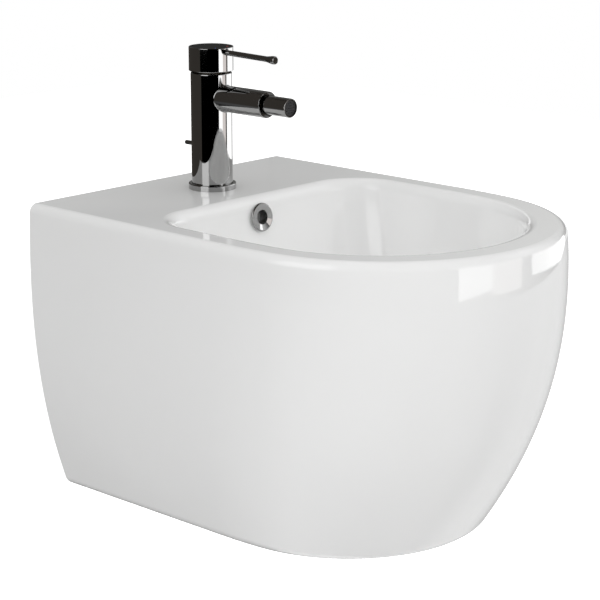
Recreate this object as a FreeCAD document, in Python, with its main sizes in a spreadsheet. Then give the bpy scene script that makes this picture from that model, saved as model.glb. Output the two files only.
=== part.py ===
import FreeCAD, Part
import math
import os
from types import SimpleNamespace

import Sketcher

# Wall-hung bidet with a one-hole mixer and a pop-up waste, in millimetres and degrees.
# +Z is up, the wall is the plane y = 0, the front looks along -Y and x = 0 is the plane of symmetry.
# The origin is midway between the two wall bolts, on the wall.

CERAMIC_SIZES = {
    "rim_height": (85, "rim above the wall bolts"),
    "body_width": (370, "widest width of the ceramic body"),
    "body_reach": (486, "furthest reach from the wall"),
    "body_height": (307, "rim to underside"),
    "rim_inset": (2, "rim inside the widest outline"),
    "belly_drop": (74, "widest outline below the rim"),
    "mid_rise": (149, "middle outline above the underside"),
    "mid_inset": (5, "middle outline inside the widest one, at the sides"),
    "mid_setback": (13, "middle outline behind the widest one, at the front"),
    "low_rise": (71, "low outline above the underside"),
    "low_inset": (19, "low outline inside the widest one, at the sides"),
    "low_setback": (42, "low outline behind the widest one, at the front"),
    "foot_inset": (41, "underside inside the widest outline, at the sides"),
    "foot_setback": (83, "underside behind the widest outline, at the front"),
    "nose_stretch": (1.22, "length of a rounded front over half its width"),
    "flank_ratio": (3, "radius of the flank before the nose over half the width"),
    "back_grind": (21, "ground off the back, which leaves it flat and sharp-edged"),
    "back_corner": (11, "radius of the upright corners before they are ground off"),
    "foot_corner": (20, "radius of those corners at the underside"),
    "rim_round": (9, "outer rounding of the rim"),
    "foot_round": (14, "rounding of the lower edge"),
    "shell_wall": (11, "thickness of the skirt"),
    "deck_wall": (14, "thickness of the deck and rim"),
    "back_wall": (14, "thickness of the wall plate"),
    "floor_wall": (12, "thickness of the underside"),
    "access_half": (96, "half the width of the open underside and back"),
    "access_reach": (300, "open underside from the wall"),
    "access_drop": (150, "top of the open back below the rim"),
    "bolt_spacing": (180, "between the wall bolts"),
    "bolt_hole": (9, "radius of the wall bolt holes"),
    "rim_side": (38, "width of the rim at the sides"),
    "bowl_back": (143, "back of the bowl from the wall, at the rim"),
    "rim_front": (41, "width of the rim at the front"),
    "bowl_corner": (48, "radius of the bowl's back corners at the rim"),
    "bowl_depth": (138, "rim to the bowl's floor"),
    "bowl_wall": (11, "thickness of the bowl"),
    "bowl_round": (11, "rounding of the rim into the bowl"),
    "upper_drop": (55, "upper bowl outline below the rim"),
    "upper_inset": (8, "upper bowl outline inside the rim's"),
    "lower_rise": (38, "lower bowl outline above the bowl's floor"),
    "lower_inset": (29, "lower bowl outline inside the rim's"),
    "toe_rise": (10, "toe outline above the bowl's floor"),
    "toe_inset": (57, "toe outline inside the rim's, at the sides"),
    "toe_behind": (49, "toe outline behind the waste axis"),
    "toe_setback": (68, "toe outline behind the rim's, at the front"),
    "toe_corner": (38, "radius of the toe's back corners"),
    "floor_inset": (84, "floor outline inside the rim's, at the sides"),
    "floor_behind": (34, "floor outline behind the waste axis"),
    "floor_setback": (112, "floor outline behind the rim's, at the front"),
    "floor_corner": (28, "radius of the floor's back corners"),
    "boss_radius": (40, "outside of the waste boss"),
    "boss_length": (44, "bowl floor to the underside of the waste boss"),
    "duct_half": (12, "half the width of the overflow duct"),
    "duct_depth": (10, "depth of the overflow duct"),
    "duct_wall": (8, "wall of the overflow duct"),
    "duct_skin": (11, "ceramic between the bowl's back and the duct"),
    "duct_floor": (30, "bottom of the duct below the bowl's floor"),
    "overflow_drop": (21, "overflow hole below the rim"),
    "overflow_flange": (14.7, "outside of the overflow ring"),
    "overflow_tube": (10.9, "outside of the overflow ring's tube"),
    "overflow_bore": (7.5, "bore of the overflow ring"),
    "overflow_lip": (2.6, "thickness of the overflow ring's flange"),
    "overflow_dish": (1.2, "hollow of the overflow ring's face"),
    "overflow_length": (9, "length of the overflow ring's tube"),
    "overflow_seat": (0.6, "depth of the flat seat for the overflow ring"),
}

MIXER_SIZES = {
    "tap_reach": (75, "mixer axis from the wall"),
    "tap_hole": (17.5, "radius of the hole in the deck"),
    "base_radius": (24.7, "outside of the base ring"),
    "base_height": (6.2, "height of the base ring"),
    "base_round": (1.2, "rounding of the base ring"),
    "gasket_outer": (23, "outside of the base gasket"),
    "gasket_inner": (19, "inside of the base gasket"),
    "gasket_depth": (1.6, "thickness of the base gasket"),
    "spigot_radius": (16.4, "spigot that enters the deck"),
    "spigot_drop": (6, "spigot below the deck's top"),
    "neck_cut": (0.8, "depth of the shadow groove above the base ring"),
    "neck_height": (1, "height of the shadow groove"),
    "tap_radius": (21.4, "outside of the mixer body"),
    "tap_height": (121, "top of the mixer body above the deck"),
    "tap_round": (1.2, "rounding of the mixer body's top"),
    "spout_height": (95.5, "spout axis above the deck"),
    "spout_radius": (13.5, "outside of the spout"),
    "spout_reach": (80, "end of the spout from the mixer axis"),
    "spout_root": (0.9, "rounding where the spout leaves the mixer body"),
    "spout_lip": (0.5, "bevel of the spout's end"),
    "waterway": (6, "radius of the spout's bore"),
    "waterway_start": (12, "start of the spout's bore from the mixer axis"),
    "inlet_side": (7.2, "inlets to each side of the mixer axis"),
    "inlet_front": (6.5, "inlets in front of the mixer axis"),
    "inlet_bore": (2.8, "radius of the inlet passages"),
    "inlet_thread": (4.5, "radius of the hose threads"),
    "inlet_depth": (16, "depth of the hose threads"),
    "stud_back": (3.2, "mounting stud behind the mixer axis"),
    "stud_radius": (3, "mounting stud"),
    "stud_grip": (20, "mounting stud inside the mixer body"),
    "stud_tail": (75, "mounting stud below the deck's top"),
    "washer_radius": (24, "outside of the horseshoe washers"),
    "washer_slot": (13, "half width of the horseshoe's slot"),
    "washer_edge": (1.2, "back of the slot in front of the mixer axis"),
    "rubber_thickness": (3, "rubber washer"),
    "plate_thickness": (2.5, "clamp plate"),
    "nut_across": (10, "stud nut across flats"),
    "nut_length": (18, "stud nut"),
    "fit_gap": (0.1, "radial gap of pieces that are put together"),
    "seat_gap": (0.05, "gap between faces that slide on each other"),
}

CARTRIDGE_SIZES = {
    "cartridge_floor": (98, "floor of the cartridge cavity above the deck"),
    "cartridge_radius": (17, "outside of the cartridge"),
    "seal_thickness": (1, "cartridge seal"),
    "housing_base": (4, "floor of the cartridge housing"),
    "shoulder_height": (14, "housing shoulder above its underside"),
    "collar_radius": (15.4, "housing above its shoulder"),
    "housing_height": (26, "cartridge housing"),
    "housing_lip": (3, "top lip of the housing"),
    "mouth_radius": (11.5, "opening in the top lip"),
    "chamber_radius": (14, "inside of the housing"),
    "disc_radius": (13.6, "fixed ceramic disc"),
    "disc_thickness": (3, "ceramic discs"),
    "slider_radius": (9.5, "moving ceramic disc"),
    "pivot_height": (114, "lever pivot above the deck"),
    "pivot_radius": (1.5, "lever pivot pin"),
    "pivot_half": (12, "half the length of the pivot pin"),
    "carrier_slot": (9, "half the length of the carrier's slot"),
    "spindle_half": (4, "half the width of the spindle"),
    "spindle_foot": (3, "spindle's square below its pivot"),
    "spindle_top": (141, "top of the spindle above the deck"),
    "tip_half": (2, "half the width of the spindle's tip"),
    "tip_reach": (6.6, "end of the spindle's tip below its pivot"),
    "tip_room": (1, "room for the tip in the moving disc, each way"),
    "tip_drop": (0.5, "room for the tip's swing below it"),
    "nut_radius": (18.1, "outside of the cartridge nut"),
    "nut_height": (9, "cartridge nut"),
    "nut_slot": (4, "width of the cartridge nut's spanner slots"),
    "nut_slot_depth": (2.5, "depth of the spanner slots"),
    "outlet_front": (12, "cartridge outlet in front of the mixer axis"),
}

HANDLE_SIZES = {
    "cap_bottom": (122.8, "lower edge of the handle above the deck"),
    "cap_top": (147.4, "top of the handle above the deck"),
    "cap_radius": (23, "outside of the handle"),
    "cap_wall": (1.4, "side wall of the handle"),
    "cap_roof": (3.6, "roof of the handle"),
    "cap_round": (0.7, "rounding of the handle's edges"),
    "hub_radius": (9, "hub inside the handle"),
    "hub_bottom": (131.5, "underside of the hub above the deck"),
    "lever_height": (143.2, "lever's line above the deck, at the mixer axis"),
    "lever_droop": (1.4, "lever below level, in degrees"),
    "lever_radius": (2.8, "lever"),
    "lever_root": (5.5, "inner end of the lever from the mixer axis"),
    "lever_flare": (79, "start of the lever's flare from the mixer axis"),
    "flare_length": (8, "flare of the lever"),
    "lever_tip": (4.1, "radius of the lever's end"),
    "lever_end": (91, "end of the lever from the mixer axis"),
    "lever_boss": (4.1, "radius of the boss around the lever's root"),
    "dimple_radius": (4.1, "hollow around the lever's root"),
    "dimple_depth": (2.2, "depth of that hollow"),
    "mark_radius": (0.9, "hot and cold marks"),
    "mark_depth": (0.8, "depth of the marks"),
    "mark_side": (8.5, "marks to each side of the mixer axis"),
    "mark_front": (15, "marks in front of the mixer axis"),
}

NOZZLE_SIZES = {
    "ball_back": (8.5, "ball centre behind the spout's end"),
    "ball_radius": (8.5, "nozzle ball"),
    "ball_bore": (3.2, "bore of the nozzle ball"),
    "neck_radius": (5.4, "neck of the nozzle ball"),
    "neck_length": (14, "end of the neck from the ball's centre"),
    "socket_radius": (12.2, "socket in the spout's end"),
    "socket_depth": (7.5, "socket behind the ball's centre"),
    "cup_radius": (11.9, "outside of the ball seat"),
    "cup_back_angle": (27.5, "back edge of the ball seat behind its middle, in degrees"),
    "cup_front_angle": (3.4, "front edge of the ball seat behind its middle, in degrees"),
    "ring_start": (1.5, "back of the spout ring in front of the ball's centre"),
    "ring_taper": (4.6, "end of the spout ring's taper"),
    "ring_end": (5.5, "front of the spout ring"),
    "ring_wide": (8.7, "wide end of the spout ring's taper"),
    "ring_narrow": (7.4, "narrow end of the spout ring's taper"),
    "sleeve_radius": (9.7, "outside of the nozzle sleeve"),
    "sleeve_bore": (8.2, "inside of the nozzle sleeve"),
    "sleeve_start": (8.3, "back of the sleeve in front of the ball's centre"),
    "sleeve_end": (40.1, "front of the sleeve in front of the ball's centre"),
    "sleeve_lip": (0.6, "rounding of the sleeve's ends"),
    "washer_thickness": (1.5, "nozzle seal"),
    "washer_bore": (4, "bore of the nozzle seal"),
    "insert_sink": (0.9, "aerator face behind the sleeve's end"),
    "insert_plate": (3.2, "aerator plate"),
    "insert_bore": (6.8, "inside of the aerator"),
    "jet_radius": (0.6, "holes of the aerator"),
    "jet_ring": (2.7, "step between the rings of holes"),
}

WASTE_SIZES = {
    "waste_shift": (54, "waste axis behind the bowl's middle"),
    "waste_hole": (23, "hole through the waste boss"),
    "flange_radius": (32, "waste flange"),
    "flange_thickness": (3, "waste flange"),
    "flange_room": (0.6, "room around the waste flange"),
    "flange_seal": (2, "gasket under the waste flange"),
    "seal_margin": (1, "gaskets inside the pieces that press them"),
    "waste_thread": (20.9, "outside of the waste tube"),
    "waste_bore": (18, "inside of the waste tube"),
    "seat_radius": (22, "wide end of the plug's seat"),
    "seat_depth": (4, "depth of the plug's seat"),
    "waste_length": (75, "waste tube below the bowl's floor"),
    "window_half": (6, "half the width of the overflow windows"),
    "window_top": (16, "top of the overflow windows below the bowl's floor"),
    "window_height": (16, "height of the overflow windows"),
    "boss_seal": (3, "gasket under the waste boss"),
    "lock_radius": (34, "waste nut across its corners, halved"),
    "lock_height": (12, "waste nut"),
    "tee_gap": (1, "waste tee below the waste nut"),
    "tee_radius": (24.5, "outside of the waste tee"),
    "tee_bore": (16.5, "inside of the waste tee"),
    "tee_taper": (94, "start of the tee's taper below the bowl's floor"),
    "tee_neck": (19, "outside of the tee's lower socket"),
    "neck_start": (100, "end of the tee's taper below the bowl's floor"),
    "tail_seat": (96, "top of the tail pipe below the bowl's floor"),
    "tee_end": (108, "bottom of the tee below the bowl's floor"),
    "tail_radius": (16, "tail pipe"),
    "tail_spigot": (15.2, "tail pipe inside the tee's socket"),
    "tail_shoulder": (1, "tail pipe's step below the tee"),
    "tail_bore": (14.5, "inside of the tail pipe"),
    "tail_end": (140, "end of the tail pipe below the bowl's floor"),
    "port_drop": (84, "pivot rod below the bowl's floor"),
    "port_radius": (11, "outside of the tee's side port"),
    "port_end": (34, "end of the side port from the waste axis"),
    "port_bore": (5.6, "passage from the port into the tee"),
    "joint_reach": (27, "pivot ball from the waste axis"),
    "joint_radius": (6, "pivot ball"),
    "seat_ring": (8.2, "room for the pivot seat in the port"),
    "seat_start": (1, "pivot seat behind the ball's centre"),
    "seat_hole": (4.7, "opening of the pivot seat"),
    "cap_nut_radius": (13.5, "outside of the pivot nut"),
    "cap_nut_grip": (8.5, "pivot nut along the port"),
    "cap_nut_end": (3, "end wall of the pivot nut"),
    "cap_nut_hole": (6, "opening of the pivot nut"),
    "rod_radius": (2.5, "pivot rod and lift rod"),
    "tongue_radius": (2, "inner end of the pivot rod"),
    "tongue_past": (4.5, "pivot rod past the waste axis"),
    "plug_radius": (28, "plug"),
    "plug_thickness": (5, "plug"),
    "plug_round": (2.5, "rounding of the plug's top"),
    "plug_open": (7, "open plug above its closed place"),
    "plug_clear": (0.4, "closed plug above the flange"),
    "ring_seal_outer": (19.4, "outside of the plug seal"),
    "ring_seal_inner": (14, "inside of the plug seal"),
    "ring_seal_height": (2.6, "plug seal"),
    "stem_radius": (4, "plug stem"),
    "stem_grip": (5, "plug stem inside the plug"),
    "eye_half": (6, "half the width and height of the stem's eye"),
    "eye_depth": (3, "half the depth of the stem's eye"),
    "eye_bore": (3.2, "hole in the stem's eye"),
    "vane_reach": (17.3, "guide vanes of the stem from its axis"),
    "vane_half": (1, "half the thickness of the vanes"),
    "vane_top": (6, "top of the vanes below the bowl's floor"),
    "vane_height": (8, "guide vanes"),
}

LIFT_SIZES = {
    "lift_back": (12.5, "lift rod behind the mixer axis"),
    "lift_room": (0.5, "room around the lift rod in the mixer body"),
    "lift_travel": (36, "travel of the lift pin"),
    "pin_height": (43.5, "lift pin above the deck"),
    "pin_radius": (2.25, "lift pin"),
    "pin_shank": (1.2, "threaded end of the lift pin"),
    "pin_out": (18, "lift pin behind the mixer body"),
    "pin_round": (1.6, "rounding of the lift pin's end"),
    "pin_room": (0.2, "room around the lift pin in its slot"),
    "rod_above": (3.5, "lift rod above the lift pin's axis"),
    "rod_below": (10, "lift rod below the pivot rod's axis"),
    "rod_washer_room": (1.5, "room for the lift rod through the washers"),
    "fork_half": (15, "half the width of the lift fork"),
    "fork_depth": (5, "half the depth of the fork's block"),
    "fork_height": (6, "half the height of the fork"),
    "tine_inner": (12.2, "inside of the fork's tines from the pivot rod's axis"),
    "tine_end": (18, "end of the tines in front of the lift rod"),
    "slot_start": (7, "back of the fork's slot in front of the lift rod"),
    "slot_end": (16.3, "front of the fork's slot in front of the lift rod"),
    "slot_room": (0.6, "room above and below the cross pin"),
    "cross_radius": (2, "cross pin"),
    "cross_back": (9.3, "cross pin in front of the lift rod"),
    "cross_tail": (1.9, "pivot rod past the cross pin"),
    "screw_radius": (1.5, "fork screw"),
    "screw_head": (2.8, "head of the fork screw"),
    "screw_head_height": (2.2, "head of the fork screw"),
}

ALL_SIZES = {
    **CERAMIC_SIZES, **MIXER_SIZES, **CARTRIDGE_SIZES, **HANDLE_SIZES,
    **NOZZLE_SIZES, **WASTE_SIZES, **LIFT_SIZES,
}


class Size:
    """A number together with the sheet expression that keeps it up to date."""

    def __init__(self, value, text):
        self.value = value
        self.text = text

    def __add__(self, other):
        other = as_size(other)
        return Size(self.value + other.value, f"({self.text} + {other.text})")

    def __sub__(self, other):
        other = as_size(other)
        return Size(self.value - other.value, f"({self.text} - {other.text})")

    def __mul__(self, other):
        other = as_size(other)
        return Size(self.value * other.value, f"({self.text} * {other.text})")

    def __truediv__(self, other):
        other = as_size(other)
        return Size(self.value / other.value, f"({self.text} / {other.text})")

    def __neg__(self):
        return Size(-self.value, f"(0 - {self.text})")


def as_size(amount):
    if isinstance(amount, Size):
        return amount
    return Size(float(amount), f"({amount})")


def least(first, second):
    return Size(min(first.value, second.value), f"min({first.text}; {second.text})")


def make_sheet(document):
    """Write every driving size to the sheet and hand back the sizes by name."""
    sheet = document.addObject("Spreadsheet::Sheet", "Sizes")
    named = {}
    for row, (name, (amount, meaning)) in enumerate(ALL_SIZES.items(), start=1):
        sheet.set(f"A{row}", meaning)
        sheet.set(f"B{row}", str(amount))
        sheet.setAlias(f"B{row}", name)
        named[name] = Size(float(amount), f"Sizes.{name}")
    document.recompute()
    return SimpleNamespace(**named)


# Two edges are at one place within TOUCH, a rounding keeps to the EASED share of a corner's radius, and a
# back corner of an outline to CORNER_SHARE of its straight side.
TOUCH = 0.01
EASED = 0.85
CORNER_SHARE = 0.7

# Sides of the nuts, and the rings of holes in the aerator as (holes, steps out from the middle).
HEXAGON_SIDES = 6
OCTAGON_SIDES = 8
JET_RINGS = ((1, 0), (6, 1), (12, 2))

doc = FreeCAD.newDocument("Bidet")
s = make_sheet(doc)
pieces = []

# Levels of the ceramic's underside and of the deck's underside, then the bowl's front and the waste
# axis from the wall.
UNDERSIDE = s.rim_height - s.body_height
DECK_UNDER = s.rim_height - s.deck_wall
BOWL_FRONT = s.body_reach - s.rim_front
WASTE_REACH = (s.bowl_back + BOWL_FRONT) / 2 - s.waste_shift

TURNS = {
    "z": FreeCAD.Rotation(),
    "-z": FreeCAD.Rotation(FreeCAD.Vector(1, 0, 0), 180),
    "y": FreeCAD.Rotation(FreeCAD.Vector(1, 0, 0), -90),
    "-y": FreeCAD.Rotation(FreeCAD.Vector(1, 0, 0), 90),
    "x": FreeCAD.Rotation(FreeCAD.Vector(0, 1, 0), 90),
}


def bind(item, path, amount):
    item.setExpression(path, as_size(amount).text)


def put(item, at, turn=TURNS["z"]):
    """Place an item, each coordinate bound to the sheet."""
    at = [as_size(amount) for amount in at]
    item.Placement = FreeCAD.Placement(FreeCAD.Vector(*(amount.value for amount in at)), turn)
    for axis, amount in zip("xyz", at):
        bind(item, f"Placement.Base.{axis}", amount)


def new_body(label, at=(0, 0, 0), turn=TURNS["z"]):
    body = doc.addObject("PartDesign::Body", label)
    body.Label = label
    put(body, at, turn)
    pieces.append(body)
    return body


def plane(body, role):
    return next(item for item in body.Origin.OriginFeatures if item.Role == role)


def new_sketch(body, role, level=0):
    """A sketch on one of the body's own planes, lifted off it by level."""
    sketch = body.newObject("Sketcher::SketchObject", body.Label + "_sketch")
    sketch.AttachmentSupport = [(plane(body, role), "")]
    sketch.MapMode = "FlatFace"
    level = as_size(level)
    sketch.AttachmentOffset = FreeCAD.Placement(FreeCAD.Vector(0, 0, level.value), FreeCAD.Rotation())
    bind(sketch, "AttachmentOffset.Base.z", level)
    return sketch


def hold(sketch, kind, *parts):
    """Add a dimension whose last part is a size, bound to the sheet."""
    amount = as_size(parts[-1])
    index = sketch.addConstraint(Sketcher.Constraint(kind, *parts[:-1], amount.value))
    sketch.setExpression(f"Constraints[{index}]", amount.text)


def turned(label, corners, at=(0, 0, 0), turn=TURNS["z"]):
    """A body of revolution about its own Z axis from (radius, height) corners."""
    body = new_body(label, at, turn)
    sketch = new_sketch(body, "XZ_Plane")
    corners = [(as_size(radius), as_size(height)) for radius, height in corners]
    points = [FreeCAD.Vector(radius.value, height.value, 0) for radius, height in corners]
    for start, end in zip(points, points[1:] + points[:1]):
        sketch.addGeometry(Part.LineSegment(start, end))
    for index in range(len(points)):
        following = (index + 1) % len(points)
        sketch.addConstraint(Sketcher.Constraint("Coincident", index, 2, following, 1))
    for index, (radius, height) in enumerate(corners):
        hold(sketch, "DistanceX", -1, 1, index, 1, radius)
        hold(sketch, "DistanceY", -1, 1, index, 1, height)
    revolution = body.newObject("PartDesign::Revolution", label + "_turned")
    revolution.Profile = sketch
    revolution.ReferenceAxis = (sketch, ["V_Axis"])
    revolution.Angle = 360
    return body


def ring(label, inner, outer, low, high, at, turn=TURNS["z"]):
    return turned(label, [(inner, low), (outer, low), (outer, high), (inner, high)], at, turn)


def cylinder(body, sign, radius, start, length, axis="z"):
    tool = body.newObject(f"PartDesign::{sign}Cylinder", "Round")
    bind(tool, "Radius", radius)
    bind(tool, "Height", length)
    put(tool, start, TURNS[axis])
    return tool


def box(body, sign, low, high):
    tool = body.newObject(f"PartDesign::{sign}Box", "Block")
    for path, start, end in zip(("Length", "Width", "Height"), low, high):
        bind(tool, path, as_size(end) - start)
    put(tool, low)
    return tool


def sphere(body, sign, radius, centre, south=-90, north=90):
    tool = body.newObject(f"PartDesign::{sign}Sphere", "Ball")
    bind(tool, "Radius", radius)
    bind(tool, "Angle1", south)
    bind(tool, "Angle2", north)
    put(tool, centre)
    return tool


def prism(body, sides, radius, start, length, axis="z"):
    tool = body.newObject("PartDesign::AdditivePrism", "Nut")
    tool.Polygon = sides
    bind(tool, "Circumradius", radius)
    bind(tool, "Height", length)
    put(tool, start, TURNS[axis])
    return tool


def rounded(body, radius, chosen):
    """Round the edges of the body's tip that the test chooses."""
    doc.recompute()
    base = body.Tip
    names = [f"Edge{index}" for index, edge in enumerate(base.Shape.Edges, start=1) if chosen(edge)]
    fillet = body.newObject("PartDesign::Fillet", "Rounding")
    fillet.Base = (base, names)
    bind(fillet, "Radius", radius)
    return fillet


def circle_at(radius, height, forward=0):
    """A test for a circle of one radius, by its centre's height and its distance forward of the axis."""
    radius = as_size(radius).value
    centre = FreeCAD.Vector(0, -as_size(forward).value, as_size(height).value)

    def chosen(edge):
        curve = edge.Curve
        if not isinstance(curve, Part.Circle):
            return False
        return abs(curve.Radius - radius) < TOUCH and curve.Center.distanceToPoint(centre) < TOUCH
    return chosen


def flat_at(height):
    """A test for an edge that lies at one height."""
    height = as_size(height).value

    def chosen(edge):
        bounds = edge.BoundBox
        return abs(bounds.ZMin - height) < TOUCH and abs(bounds.ZMax - height) < TOUCH
    return chosen


def d_section(body, level, half, back, front, corner):
    """A D outline: straight back, rounded corners, straight sides, flanks and a round nose."""
    sketch = new_sketch(body, "XY_Plane", level)
    nose = half * s.nose_stretch
    flank = half * s.flank_ratio
    straight = front - nose
    across = half - flank
    corner = least(corner, (straight - back) * CORNER_SHARE)
    radius = (across * across + nose * nose - flank * flank) / ((nose - flank) * 2)
    lean = math.atan2(radius.value - nose.value, -across.value)
    quarter = math.pi / 2
    up = FreeCAD.Vector(0, 0, 1)

    def point(x, y):
        return FreeCAD.Vector(x, y, 0)

    def arc(x, y, r, start, end):
        return Part.ArcOfCircle(Part.Circle(point(x, y), up, r), start, end)

    wide, rear, bend = half.value, -back.value, corner.value
    ends, centre = -straight.value, radius.value - front.value
    sketch.addGeometry(Part.LineSegment(point(bend - wide, rear), point(wide - bend, rear)))
    sketch.addGeometry(arc(wide - bend, rear - bend, bend, 0, quarter))
    sketch.addGeometry(Part.LineSegment(point(wide, rear - bend), point(wide, ends)))
    sketch.addGeometry(arc(across.value, ends, flank.value, lean, 0))
    sketch.addGeometry(arc(0, centre, radius.value, -math.pi - lean, lean))
    sketch.addGeometry(arc(-across.value, ends, flank.value, math.pi, math.pi - lean))
    sketch.addGeometry(Part.LineSegment(point(-wide, ends), point(-wide, rear - bend)))
    sketch.addGeometry(arc(bend - wide, rear - bend, bend, quarter, math.pi))
    for joint in ((0, 2, 1, 2), (1, 1, 2, 1), (2, 2, 3, 2), (3, 1, 4, 2),
                  (4, 1, 5, 2), (5, 1, 6, 1), (6, 2, 7, 2), (7, 1, 0, 1)):
        sketch.addConstraint(Sketcher.Constraint("Tangent", *joint))
    sketch.addConstraint(Sketcher.Constraint("Horizontal", 0))
    sketch.addConstraint(Sketcher.Constraint("Vertical", 2))
    sketch.addConstraint(Sketcher.Constraint("Vertical", 6))
    hold(sketch, "DistanceY", -1, 1, 0, 1, -back)
    hold(sketch, "DistanceX", -1, 1, 2, 1, half)
    hold(sketch, "DistanceX", -1, 1, 6, 1, -half)
    hold(sketch, "DistanceY", -1, 1, 2, 2, -straight)
    hold(sketch, "DistanceY", -1, 1, 6, 1, -straight)
    for index, amount in ((1, corner), (7, corner), (3, flank), (5, flank), (4, radius)):
        hold(sketch, "Radius", index, amount)
    return sketch


def loft(body, sign, sections):
    feature = body.newObject(f"PartDesign::{sign}Loft", "Skin")
    feature.Profile = sections[0]
    feature.Sections = sections[1:]
    return feature


def skirt_sections(body, wall, bottom, back):
    """The D outlines of the skirt from the rim down, drawn in by a wall."""
    half = s.body_width / 2 - wall
    reach = s.body_reach - wall
    rows = [
        (as_size(0), s.rim_inset, s.rim_inset, s.back_corner),
        (s.belly_drop, as_size(0), as_size(0), s.back_corner),
        (s.body_height - s.mid_rise, s.mid_inset, s.mid_setback, s.back_corner),
        (s.body_height - s.low_rise, s.low_inset, s.low_setback, s.foot_corner),
        (bottom, s.foot_inset, s.foot_setback, s.foot_corner),
    ]
    return [d_section(body, s.rim_height - drop, half - inset, back, reach - setback, corner)
            for drop, inset, setback, corner in rows]


def bowl_sections(body, wall):
    """The D outlines of the bowl from the rim to its floor, thickened outwards and downwards by a wall."""
    half = s.body_width / 2 - s.rim_side + wall
    front = BOWL_FRONT + wall
    lower = s.bowl_depth - s.lower_rise
    toe = s.bowl_depth - s.toe_rise + wall
    rows = [
        (as_size(0), as_size(0), s.bowl_back, as_size(0), s.bowl_corner),
        (s.upper_drop, s.upper_inset, s.bowl_back + s.upper_inset, s.upper_inset, s.bowl_corner),
        (lower, s.lower_inset, s.bowl_back + s.lower_inset, s.lower_inset, s.bowl_corner),
        (toe, s.toe_inset, WASTE_REACH - s.toe_behind, s.toe_setback, s.toe_corner),
        (s.bowl_depth + wall, s.floor_inset, WASTE_REACH - s.floor_behind, s.floor_setback, s.floor_corner),
    ]
    return [d_section(body, s.rim_height - drop, half - inset, back - wall, front - setback, corner + wall)
            for drop, inset, back, setback, corner in rows]


def overflow_wall():
    """Distance from the wall of the bowl's back at the overflow's height, and its lean in degrees."""
    run = s.upper_inset / s.upper_drop
    lean = math.degrees(math.atan2(s.upper_inset.value, s.upper_drop.value))
    return s.bowl_back + run * s.overflow_drop - s.overflow_seat, lean


def outer_skin(body):
    """The outside of the ceramic, which stands past the wall plane by what is ground off."""
    loft(body, "Additive", skirt_sections(body, as_size(0), s.body_height, -s.back_grind))


def ground_back(body):
    box(body, "Subtractive", (-s.body_width, 0, UNDERSIDE - s.body_height),
        (s.body_width, s.back_grind * 2, s.rim_height + s.body_height))


def keep_below(body):
    """Cut off what reaches above the deck's underside, where the three ceramic solids meet."""
    box(body, "Subtractive", (-s.body_width, -s.body_reach * 2, DECK_UNDER),
        (s.body_width, s.body_reach, DECK_UNDER + s.deck_wall * 2))


def ceramic_rim():
    """The deck and the rim, down to the deck's underside."""
    body = new_body("ceramic_rim")
    outer_skin(body)
    rounded(body, least(s.rim_round, s.back_corner * EASED), flat_at(s.rim_height))
    box(body, "Subtractive", (-s.body_width, -s.body_reach * 2, UNDERSIDE - s.body_height),
        (s.body_width, s.body_reach, DECK_UNDER))
    ground_back(body)
    loft(body, "Subtractive", bowl_sections(body, as_size(0)))
    rounded(body, s.bowl_round, rim_edge())
    cylinder(body, "Subtractive", s.tap_hole, (0, -s.tap_reach, s.rim_height - s.deck_wall * 2),
             s.deck_wall * 3)
    overflow_cut(body)


def ceramic_skirt():
    """The sides, the wall plate and the underside, open below and behind for the pipes."""
    body = new_body("ceramic_skirt")
    outer_skin(body)
    rounded(body, least(s.foot_round, s.foot_corner * EASED), flat_at(UNDERSIDE))
    loft(body, "Subtractive", skirt_sections(
        body, s.shell_wall, s.body_height - s.floor_wall, s.back_wall))
    keep_below(body)
    ground_back(body)
    for side in (-1, 1):
        cylinder(body, "Subtractive", s.bolt_hole, (s.bolt_spacing / 2 * side, 0, 0), s.back_wall * 2, "-y")
    box(body, "Subtractive", (-s.access_half, -s.access_reach, UNDERSIDE - s.floor_wall),
        (s.access_half, s.back_wall, UNDERSIDE + s.floor_wall * 2))
    box(body, "Subtractive", (-s.access_half, -s.back_wall * 2, UNDERSIDE - s.floor_wall),
        (s.access_half, s.back_wall, s.rim_height - s.access_drop))


def ceramic_bowl():
    """The bowl below the deck's underside, with its waste boss and its overflow duct."""
    body = new_body("ceramic_bowl")
    floor = s.rim_height - s.bowl_depth
    loft(body, "Additive", bowl_sections(body, s.bowl_wall))
    cylinder(body, "Additive", s.boss_radius, (0, -WASTE_REACH, floor - s.boss_length), s.boss_length)
    duct_front = s.bowl_back - s.duct_skin
    duct_back = duct_front - s.duct_depth
    duct_low = floor - s.duct_floor
    rib_half = s.duct_half + s.duct_wall
    box(body, "Additive", (-rib_half, -WASTE_REACH, duct_low - s.duct_wall),
        (rib_half, s.duct_wall - duct_back, s.rim_height - s.deck_wall / 2))
    loft(body, "Subtractive", bowl_sections(body, as_size(0)))
    channel_height = s.duct_depth + s.duct_half
    box(body, "Subtractive", (-s.duct_half, -duct_front, duct_low),
        (s.duct_half, -duct_back, s.rim_height))
    box(body, "Subtractive", (-s.duct_half, -WASTE_REACH, duct_low),
        (s.duct_half, -duct_back, duct_low + channel_height))
    cylinder(body, "Subtractive", s.waste_hole, (0, -WASTE_REACH, floor - s.boss_length), s.boss_length * 2)
    recess = s.flange_thickness + s.flange_seal
    cylinder(body, "Subtractive", s.flange_radius + s.flange_room, (0, -WASTE_REACH, floor - recess),
             recess * 2)
    overflow_cut(body)
    keep_below(body)


def rim_edge():
    """A test for the edges of the bowl's opening in the rim."""
    level = flat_at(s.rim_height)
    outer = s.body_width.value / 2 - s.rim_inset.value - s.rim_round.value - TOUCH
    reach = BOWL_FRONT.value + TOUCH
    back = s.bowl_back.value - TOUCH

    def chosen(edge):
        bounds = edge.BoundBox
        inside = bounds.XMax < outer and bounds.XMin > -outer
        return level(edge) and inside and bounds.YMax < -back and bounds.YMin > -reach
    return chosen


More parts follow.
